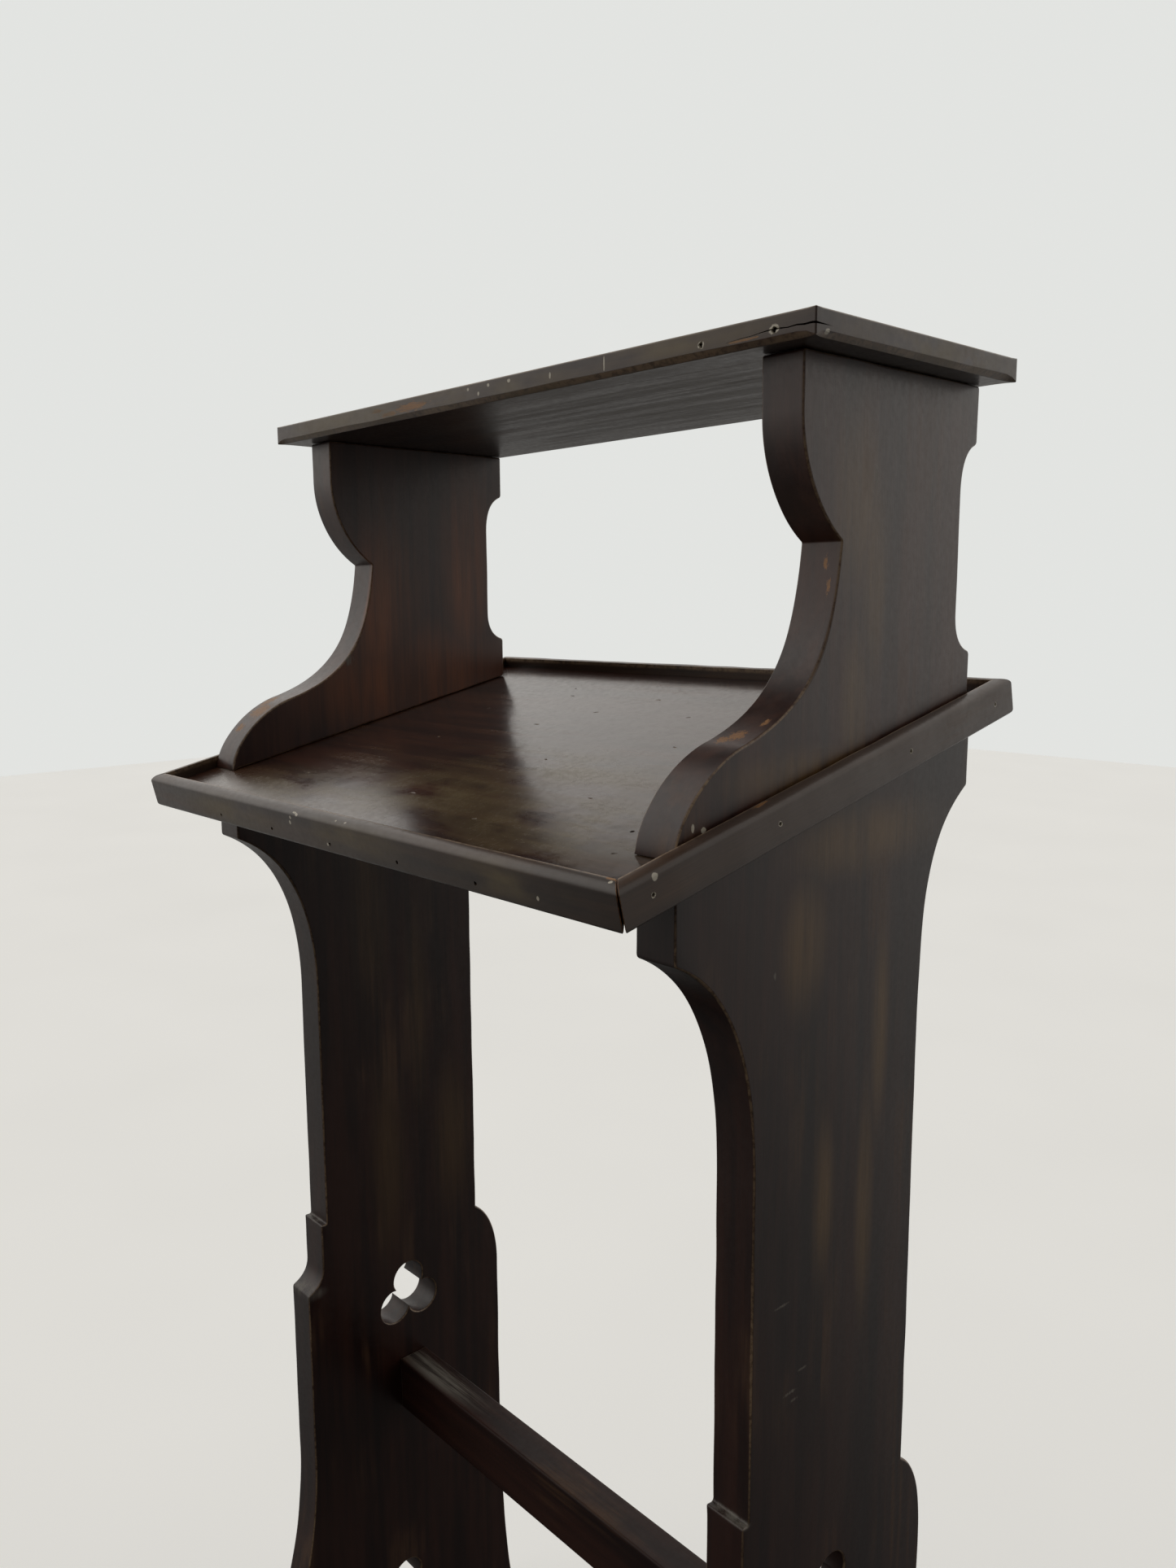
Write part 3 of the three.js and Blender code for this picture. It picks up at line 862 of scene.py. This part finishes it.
# Marks on the supports' front edges, as (centre, radii).
EDGE_RAW = {
    "left": [((-199, -84, 787), (8, 10, 4.5)), ((-206, -72, 792), (4, 9, 4)),
             ((-203, -97, 777), (4, 3, 4))],
    "right": [((200, -57, 798), (4, 5, 3)), ((196, -62, 796.5), (3, 3.4, 3)),
              ((206, -44, 803), (1.5, 2.5, 3)), ((204, 0, 876), (1.4, 2, 4)), ((207, 0, 864), (1.0, 2, 4))],
}
EDGE_SCUFFS = {
    "left": [((-188, -20, 820), (2, 3, 4))],
    "right": [((200, -28, 801), (2, 3, 3)), ((191, -34, 930), (3, 2, 3))],
}


def on_face(name, marks, depth=MARK_DEPTH):
    """(centre, radii) places for marks on a side's seen face."""
    return [((SEEN_FACE[name], y, z), (depth, across, up)) for y, z, across, up in marks]


def legs_and_supports():
    for side, name in SIDES:
        low, high = sorted((side * SIDE_INNER, side * SIDE_OUTER))
        support = prism("support_" + name, [support_outline()], low, high, upright, 1.2, 0.6, side)
        material = stained(
            "support_stain_" + name, "Z", 10 + side, raw=EDGE_RAW[name],
            scuffs=on_face(name, SUPPORT_SCUFFS[name], 1.5) + EDGE_SCUFFS[name],
            specks=on_face(name, SUPPORT_SPECKS[name], 1),
            glow=on_face(name, SUPPORT_GLOW[name]), warm=GLOW if side < 0 else OLD_GOLD)
        piece("support_board_" + name, support, material, ["support_" + name])
        outlines = [leg_outline(), *[eased(h) for h in TREFOILS]]
        leg = prism("leg_" + name, outlines, low, high, upright, 1.2, 0.6, side + 3)
        ledges = [((side * 200, -65, 356.5), (14, 8, 4)), ((side * 200, -56, 407.5), (14, 2.5, 1.5))]
        # The legs' darker stain tones are painted shade.
        material = stained(
            "leg_stain_" + name, "Z", 20 + side, deep=DEEP_WITH_PAINTED_SHADE, brown=BROWN_WITH_PAINTED_SHADE,
            scuffs=on_face(name, LEG_SCRATCHES[name], 1), dusty=ledges,
            glow=on_face(name, LEG_GLOW[name]), warm=LEG_WARM if side < 0 else OLD_GOLD, sheen=0.2)
        piece("leg_board_" + name, leg, material, ["leg_" + name])


# ---------- the shelf and the rail ----------


def screw_seat(at, direction, depth=1.6):
    """A cutter for the countersunk seat of a screw whose head lies at a point of the surface."""
    profile = [(0, 0.5), (4.6, 0.5), (4.3, 0.0), (4.05, -depth), (0, -depth)]
    return lathe(profile, pointing(at, direction), 28, 0.03, at[0])


def pit(at, direction, radius=1.3, depth=1.6):
    """A cutter for the small hole over a sunk nail."""
    profile = [(0, 0.6), (radius * 1.25, 0.6), (radius * 1.1, 0.0), (radius, -0.5)]
    profile += [(radius * 0.9, -depth), (0, -depth)]
    return lathe(profile, pointing(at, direction), 14, 0.5, at[0] + at[1])


def split(name, triangles):
    """A cutter for a split in the wood: a triangle of points at each station along it."""
    vertices = [point for triangle in triangles for point in triangle]
    faces = []
    last = 3 * (len(triangles) - 1)
    for i in range(0, last, 3):
        for a, b in ((0, 1), (1, 2), (2, 0)):
            faces.append((i + a, i + b, i + 3 + b, i + 3 + a))
    faces += [(0, 2, 1), (last, last + 1, last + 2)]
    mesh = make_mesh(name, vertices, faces)
    tidy(mesh)
    return mesh


def crack():
    """A cutter for the split that runs into the shelf's front right corner."""
    stations = [
        (180.0, 972.2, 0.08, 1.0), (189.0, 972.8, 0.20, 1.8), (195.0, 973.0, 0.18, 1.8),
        (201.0, 973.6, 0.26, 2.6), (206.0, 973.9, 0.38, 3.4), (210.0, 973.8, 0.42, 3.8),
        (215.0, 973.4, 0.28, 4.6), (220.0, 973.7, 0.36, 6.0), (224.0, 973.3, 0.44, 7.5),
        (228.0, 973.4, 0.50, 10.5), (231.5, 973.0, 0.55, 13.0),
    ]
    front = SHELF_LOW.y
    return split("crack", [
        ((x, front - 1, z - half), (x, front - 1, z + half), (x, front + depth, z))
        for x, z, half, depth in stations
    ])


SEAM_STEPS = 12


def seam():
    """A cutter for the shallow split along the shelf's underside."""
    triangles = []
    below, tip = SHELF_LOW.z - 1, SHELF_LOW.z + 1.2
    for i in range(SEAM_STEPS + 1):
        share = i / SEAM_STEPS
        x = -24 + 210 * share
        y = -34.8 + 18.2 * share + 0.5 * noise.noise(Vector((x / 14, 0, 0)))
        half = 0.08 + 0.20 * math.sin(math.pi * share)
        triangles.append(((x, y - half, below), (x, y + half, below), (x, y, tip)))
    return split("seam", triangles)


def chip(at, radii, seed):
    """A cutter for a small broken-out chip."""
    bm = bmesh.new()
    bmesh.ops.create_icosphere(bm, subdivisions=2, radius=1)
    for v in bm.verts:
        v.co *= 1 + 0.35 * noise.noise(v.co * 1.6 + Vector((seed, 0, 0)))
        v.co = Vector(at) + Vector(c * r for c, r in zip(v.co, radii))
    mesh = bpy.data.meshes.new("chip")
    bm.to_mesh(mesh)
    bm.free()
    mesh.transform(Matrix.Scale(MM, 4))
    return mesh


# Marks on the shelf's front edge: along and up to the middle, then the half length and half height.
SHELF_RAW = [(190, 972.0, 8, 0.5), (-66, 974.4, 15, 2.2), (-104, 976, 7, 1.2), (-90, 972.6, 8, 1.4)]
SHELF_SPECKS = [
    (101, 974.9, 0.45, 3.6), (26, 976.8, 1.3, 1.1), (8, 977, 1.0, 0.9), (-10.4, 977, 0.8, 0.8),
    (60, 975, 0.6, 1.6), (-1, 973.5, 0.8, 1.2),
]
SHELF_THIN = [(-150, 975, 70, 9), (-60, 974, 60, 8), (40, 973, 40, 5), (150, 976, 50, 5)]
SHELF_NAILS = [(207.7, 973.7), (165.3, 973.8)]

# Scuffs on its underside: along and back to the middle, then the half length and half width.
UNDER_SCUFFS = [(204, -41, 7, 1), (136, 15, 16, 1.2), (104, 15, 9, 0.8), (90, 79, 14, 1)]


def shelf():
    front, under = SHELF_LOW.y, SHELF_LOW.z

    def on_front(marks, depth):
        return [((x, front, z), (along, depth, up)) for x, z, along, up in marks]

    outline = rectangle(SHELF_LOW.x, front, SHELF_HIGH.x, SHELF_HIGH.y, 0.9)
    mesh = prism("shelf", [outline], under, SHELF_HIGH.z, level, 1.1, 0.12, 5, under=2.8)
    cutters = [crack(), seam()]
    cutters.append(chip((230.6, -36.3, 970), (1.1, 2.4, 1.6), 3))
    cutters.append(chip((209.5, -45.5, 973.9), (2.4, 0.8, 1.3), 8))
    cutters += [pit((x, front, z), (0, -1, 0), 1.3, 3) for x, z in reversed(SHELF_NAILS)]
    for _, name in SIDES:
        for i in (1, 2):
            head, _ = screw_line(f"shelf_screw_{name}_{i}", Vector((0, 0, -1)))
            cutters.append(screw_seat((head.x, head.y, SHELF_HIGH.z), (0, 0, 1), 1.3))
    mesh = carve(mesh, cutters, "shelf")
    specks = [((207.7, front, 973.9), (2.7, 1.4, 2.0)), ((165.3, front, 973.8), (1.8, 1.2, 1.5)),
              ((230, -36.6, 969.9), (1.4, 1.9, 1.9))]
    material = stained(
        "shelf_stain", "X", 31, brown=EDGE_BROWN, raw=on_front(SHELF_RAW, 1.2),
        scuffs=[((x, y, under), (along, across, 1)) for x, y, along, across in UNDER_SCUFFS],
        specks=specks + on_front(SHELF_SPECKS, 1),
        olive=on_front(SHELF_THIN, 4) + [((SHELF_HIGH.x, 50, 974), (3, 60, 8))],
        dusty=[((90, 45, under), (150, 85, 1.2))])
    piece("shelf_board", mesh, material, ["top_shelf"])


def rail():
    low, high = RAIL_LOW, RAIL_HIGH
    end, middle = SIDE_INNER - FIT, (low.y + high.y) / 2
    mesh = prism("rail", [rectangle(low.y, low.z, high.y, high.z)], -end, end, upright, 1.6, 0.5, 6)
    # The rail's darker stain tones are painted shade under the tray.
    material = stained(
        "rail_stain", "X", 41, deep=DEEP_WITH_PAINTED_SHADE, brown=BROWN_WITH_PAINTED_SHADE, gloss=0.5, sheen=0.04,
        dusty=[((-150, middle, high.z), (40, 9, 1.2))],
        scuffs=[((side * end, middle, 252), (1.1, 16, 24)) for side, _ in SIDES])
    piece("rail_board", mesh, material, ["stretcher_rail"])


# ---------- the tray ----------


def quarter(middle, radii, turn, steps):
    """Points of a quarter of an ellipse that starts turn right angles round from outward."""
    points = []
    for i in range(steps + 1):
        angle = math.pi / 2 * turn + math.pi / 2 * i / steps
        points.append((middle[0] + radii[0] * math.cos(angle), middle[1] + radii[1] * math.sin(angle)))
    return points


def lip_section(inset=0.0):
    """(outward, up) points round a lip, from its inner bottom corner."""
    across, down, bottom, small = 6.0, 3.6, 2.6, 0.6
    outer, height = LIP_THICK - 0.1 - inset, LIP_HEIGHT - inset
    points = [(inset, inset)]
    points += quarter((outer - bottom, inset + bottom), (bottom, bottom), -1, 6)
    points += quarter((outer - across, height - down), (across, down), 0, 10)
    points += quarter((inset + small, height - small), (small, small), 1, 3)
    points += [(inset, 15.5), (inset, 12.0)]
    return points


# Each lip: its inner half length, its turn and shift into place, and how far each end stands open.
SIDE_HALF = TRAY_DEPTH / 2 - LIP_THICK
LIP_STEP = 7.0
LIP_WORN_ABOVE = 14
LIP_WEAR = 0.22
LIPS = {
    "front": (LIP_INNER, 0, (0, LIP_THICK), (0.10, 0.75)),
    "right": (SIDE_HALF, 90, (LIP_INNER, TRAY_DEPTH / 2), (0.55, 0.10)),
    "back": (LIP_INNER, 180, (0, TRAY_DEPTH - LIP_THICK), (0.10, 0.10)),
    "left": (SIDE_HALF, 270, (-LIP_INNER, TRAY_DEPTH / 2), (0.10, 0.12)),
}


def lip(name, index):
    """One mitred lip: a section carried along X in its own axes, worn along its top, then put in place."""
    half, turn, (dx, dy), opens = LIPS[name]
    place = TRAY @ Matrix.Translation((dx, dy, 0)) @ Matrix.Rotation(math.radians(turn), 4, "Z")
    count = round(2 * half / LIP_STEP)
    easing = 0.4 / half
    shares = [-1, easing - 1, *[2 * i / count - 1 for i in range(1, count)], 1 - easing, 1]
    vertices, arris, raw = [], [], []
    for share in shares:
        at_end = abs(share) == 1
        opening = opens[1] if share > 0 else opens[0]
        for outward, up in lip_section(0.3 if at_end else 0.0):
            spread = (0.35 + 0.65 * outward / LIP_THICK) * (1.25 - 0.5 * up / LIP_HEIGHT)
            gap = 0.12 + opening * spread
            jag = noise.noise(Vector((up / 1.9, outward / 2.5, index * 5 + share)))
            gap += opening * 0.35 * jag
            x = share * (half + outward - gap)
            wear = noise.noise(Vector((x / 22, outward / 9, index * 9)))
            top = max(0, (up - LIP_WORN_ABOVE) / (LIP_HEIGHT - LIP_WORN_ABOVE))
            drop = LIP_WEAR * top * (1 + wear)
            vertices.append(place @ Vector((x, -outward + 0.12 * wear * (outward > 4), up - drop)))
            near_inner = max(0.0, 1.3 - math.hypot(outward - 0.4, up - LIP_HEIGHT + 0.4) / 1.5)
            arris.append(near_inner)
            raw.append(1.0 if at_end and opening > 0.3 else 0.0)
    ring = len(lip_section())
    faces = []
    for i in range(len(shares) - 1):
        for k in range(ring):
            a, b = i * ring + k, i * ring + (k + 1) % ring
            faces.append((a, b, b + ring, a + ring))
    last = (len(shares) - 1) * ring
    faces += [tuple(range(ring))[::-1], tuple(range(last, last + ring))]
    mesh = make_mesh("lip_" + name, vertices, faces, {"arris": arris, "raw": raw})
    tidy(mesh)
    nails = [n for n in sorted(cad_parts) if n.startswith("lip_nail_" + name)]
    out = place.to_3x3() @ Vector((0, -1, 0))
    cutters = []
    for node in nails:
        head, _ = screw_line(node, -out)
        cutters.append(pit(head + out * 0.2, out, 0.95, 1.1))
    mesh = carve(mesh, cutters, "lip_" + name)
    along = "X" if name in ("front", "back") else "Y"
    specks = list(LIP_SPECKS.get(name, []))
    if name == "right":
        for node in nails:
            filled = TRAY.inverted() @ screw_line(node, -out)[0]
            specks.append((tuple(filled), (2, 1.3, 1.3)))
    material = stained(
        "lip_stain_" + name, along, 60 + index, on_slope=True, deep=LIP_DEEP, brown=EDGE_BROWN,
        raw=LIP_RAW.get(name, []), specks=specks, olive=LIP_OLIVE.get(name, []), raw_ends=True)
    piece("lip_" + name + "_moulding", mesh, material, ["lip_" + name])


# Marks on the lips in the tray's own axes, as (centre, radii).
LIP_SPECKS = {
    "front": [((-32.8, 0.6, 19.6), (2.4, 1, 0.7)), ((-30.3, 0.4, 18.6), (1.3, 1, 0.8)),
              ((-37.4, 0, 16.2), (0.9, 1, 1)), ((-38.9, 0, 13.2), (1.0, 1, 1.3)),
              ((9, 1.5, 20.5), (1.3, 1, 1)), ((18, 1.6, 20.4), (1.5, 1, 0.8)),
              ((-2.3, 0, 5.6), (0.8, 1, 0.8)), ((213.6, 4.5, 20.4), (1.1, 1.2, 0.7)),
              ((170, 0, 7), (0.8, 1, 1.1))],
    "right": [((221.5, 21.6, 18.0), (1, 1.7, 2.2))],
}
LIP_RAW = {"right": [((215.5, 96, 21), (1.2, 5, 0.8))], "front": [((212, 7, 21), (3, 1.5, 0.8))]}
LIP_OLIVE = {"front": [((150, 0, 12), (30, 4, 9)), ((20, 0, 12), (40, 4, 8)), ((-120, 0, 10), (50, 4, 8))]}


# Marks on the tray's floor: across and back to the middle, then the half length and half width.
TRAY_WORN = [(120, 55, 70, 42), (10, 66, 90, 34), (-80, 36, 90, 26), (60, 120, 80, 26)]
TRAY_SCUFFS = [(190, 48, 11, 1.6), (184, 46, 5, 1), (-200, 42, 8, 1.4)]
# The floor's small dents: across, back and half length.
TRAY_NICKS = [
    (-69, 243, 2.6), (-16, 215, 2.2), (-83, 259, 1.8), (9, 248, 2.4), (-115, 204, 1.6), (-92, 143, 2.0),
    (-39, 183, 2.8), (60, 220, 1.6), (95, 170, 2.4), (120, 240, 1.4), (150, 120, 2.0), (30, 130, 1.8),
    (-5, 60, 2.8), (70, 45, 2.2), (-120, 60, 2.4), (110, 90, 1.8), (178, 40, 2.0), (-150, 110, 1.5),
]


def on_floor(marks, depth):
    """(centre, radii) places for marks on the tray's floor."""
    return [((x, y, TRAY_THICK), (along, across, depth)) for x, y, along, across in marks]


def tray_floor():
    inner = LIP_INNER - FIT
    outline = rectangle(-inner, LIP_THICK + FIT, inner, TRAY_DEPTH - LIP_THICK - FIT)
    mesh = prism("tray", [outline], 0, TRAY_THICK, on_tray, 0.3, 0.2, 8)
    cutters = [pit(TRAY @ Vector((166.4, 63.2, TRAY_THICK)), TRAY_UP, 1.0, 1.2)]
    for _, name in SIDES:
        for i in (1, 2, 3):
            head, _ = screw_line(f"tray_screw_{name}_{i}", TRAY_UP)
            seat = TRAY.inverted() @ head
            cutters.append(screw_seat(TRAY @ Vector((seat.x, seat.y, 0)), -TRAY_UP, 0.7))
    for number, (x, y, long) in enumerate(TRAY_NICKS):
        nick = chip((0, 0, 0), (long, 0.8, 0.5), number * 2.3)
        turn = Matrix.Rotation(0.5 * math.sin(number * 2.1), 4, "Z")
        place = TRAY @ Matrix.Translation((x, y, TRAY_THICK + 0.15)) @ turn
        nick.transform(Matrix.Scale(MM, 4) @ place @ Matrix.Scale(1 / MM, 4))
        cutters.append(nick)
    mesh = carve(mesh, cutters, "tray")
    material = stained("tray_stain", "X", 51, on_slope=True, gloss=0.17, relief=0.02,
                       scuffs=on_floor(TRAY_SCUFFS, 2), olive=on_floor(TRAY_WORN, 4))
    piece("tray_panel", mesh, material, ["tray_board"])


CLEAT_FRONT, CLEAT_BACK, CLEAT_DEPTH = 60, 250, 18


def cleats():
    for side, name in SIDES:
        low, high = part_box("cleat_" + name)
        outline = rectangle(low.x / MM, CLEAT_FRONT, high.x / MM, CLEAT_BACK)
        mesh = prism("cleat", [outline], -CLEAT_DEPTH, -FIT, on_tray, 0.8, 0.5, 12 + side)
        cutters = []
        for i in (1, 2, 3):
            head, _ = screw_line(f"cleat_screw_up_{name}_{i}", TRAY_UP)
            cutters.append(screw_seat(head - TRAY_UP * 0.4, -TRAY_UP, 0.9))
        for i in (1, 2):
            across = Vector((side, 0, 0))
            head, _ = screw_line(f"cleat_screw_across_{name}_{i}", across)
            cutters.append(screw_seat(head - across * 0.4, -across, 0.9))
        mesh = carve(mesh, cutters, "cleat_" + name)
        material = bare_wood("cleat_wood_" + name, "Y", 70 + side)
        piece("cleat_batten_" + name, mesh, material, ["cleat_" + name])


# ---------- screws and nails ----------


def screw_line(node, direction):
    """Where a screw or nail of the frame has its head, and its length, from its solid's own points."""
    points = [v.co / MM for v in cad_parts[node].data.vertices]
    reach = [p.dot(direction) for p in points]
    rings = [p - direction * p.dot(direction) for p in points]
    axis = sum(rings, Vector()) / len(rings)
    return axis + direction * min(reach), max(reach) - min(reach)


def screw_mesh(length):
    """A slotted wood screw along +Z from its head at the origin: countersunk head, shank, then thread."""
    head, shank, pitch = 3.75, 1.75, 1.9
    root = shank * 0.72
    profile = [(0, 0.05), (2.4, 0.02), (head - 0.25, 0.0), (head, 0.3), (shank + 0.15, 2.6), (shank, 3.2)]
    z = length * 0.38
    profile.append((shank, z))
    while z < length - 3 * pitch:
        turn = ((root, 0.15), (root, 0.45), (shank, 0.72), (shank, 0.8))
        profile += [(radius, z + pitch * share) for radius, share in turn]
        z += pitch
    profile += [(shank * 0.7, z + pitch * 0.3), (shank * 0.6, length - 3), (0, length)]
    body = lathe(profile, Matrix.Identity(4), 24)
    slot = make_mesh("slot", [(x, y, z) for x in (-5, 5) for y in (-0.45, 0.45) for z in (-1, 0.95)],
                     [(0, 1, 3, 2), (4, 6, 7, 5), (0, 4, 5, 1), (2, 3, 7, 6), (0, 2, 6, 4), (1, 5, 7, 3)])
    return carve(body, [slot], "screw")


def nail_mesh(length):
    """A fine nail along +Z from its sunk head."""
    profile = [(0, 0.1), (0.75, 0.06), (1.05, 0.22), (1.08, 0.5), (0.75, 1.3)]
    profile += [(0.72, length - 3.2), (0, length)]
    return lathe(profile, Matrix.Identity(4), 16)


NAIL_SUNK, SCREW_SUNK = 0.45, 0.25


def fixings():
    out = {"front": (0, -1, 0), "back": (0, 1, 0), "left": (-1, 0, 0), "right": (1, 0, 0)}
    steel = old_steel("dark_steel", 5)
    masters = {}
    for number, node in enumerate(sorted(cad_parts)):
        if "screw" not in node and "nail" not in node:
            continue
        side = -1 if "left" in node else 1
        if "nail" in node:
            direction = -(TRAY.to_3x3() @ Vector(out[node.split("_")[2]]))
        elif node.startswith("shelf"):
            direction = Vector((0, 0, -1))
        elif "across" in node:
            direction = Vector((side, 0, 0))
        else:
            direction = TRAY_UP
        head, length = screw_line(node, direction)
        sunk = NAIL_SUNK if "nail" in node else SCREW_SUNK
        length = round(length - sunk - 0.1, 1)
        key = ("nail" in node, length)
        if key not in masters:
            masters[key] = nail_mesh(length) if key[0] else screw_mesh(length)
        mesh = masters[key].copy()
        spin = pointing((0, 0, 0), direction) @ Matrix.Rotation(number * 1.37, 4, "Z")
        mesh.transform(Matrix.Translation((head + direction * sunk) * MM) @ spin)
        mesh.materials.clear()
        piece(node + "_body", mesh, steel, [node])
    for mesh in masters.values():
        bpy.data.meshes.remove(mesh)


backdrop()
studio()
camera()
legs_and_supports()
shelf()
rail()
tray_floor()
for order, edge in enumerate(LIPS):
    lip(edge, order)
cleats()
fixings()
